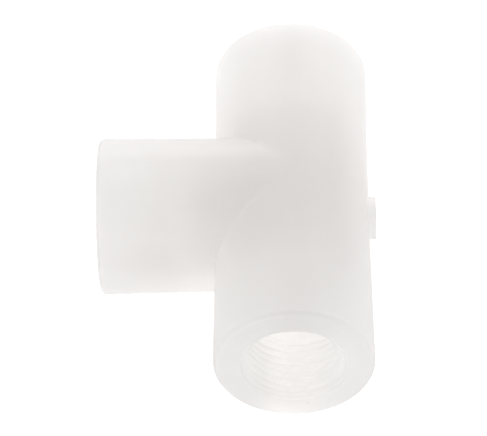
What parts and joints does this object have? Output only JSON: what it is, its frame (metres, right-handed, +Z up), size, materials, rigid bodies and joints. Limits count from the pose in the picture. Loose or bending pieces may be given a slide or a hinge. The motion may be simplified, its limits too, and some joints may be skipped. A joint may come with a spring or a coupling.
{
  "type": "tee fitting",
  "caption": "Equal tee fitting with round barrels and internally threaded ports that joins three pipe connectors in one T-shaped passage.",
  "frame": {"origin": "on the surface that the fitting lies on, below the middle of its box", "axes": "+Z up, +Y along the straight run towards the far port, -X along the branch"},
  "size_m": [0.044, 0.0628, 0.025],
  "materials": {
    "milky_plastic": "milky translucent moulded plastic, satin"
  },
  "bodies": {
    "root": {"tee_body": "milky_plastic"}
  },
  "joints": []
}
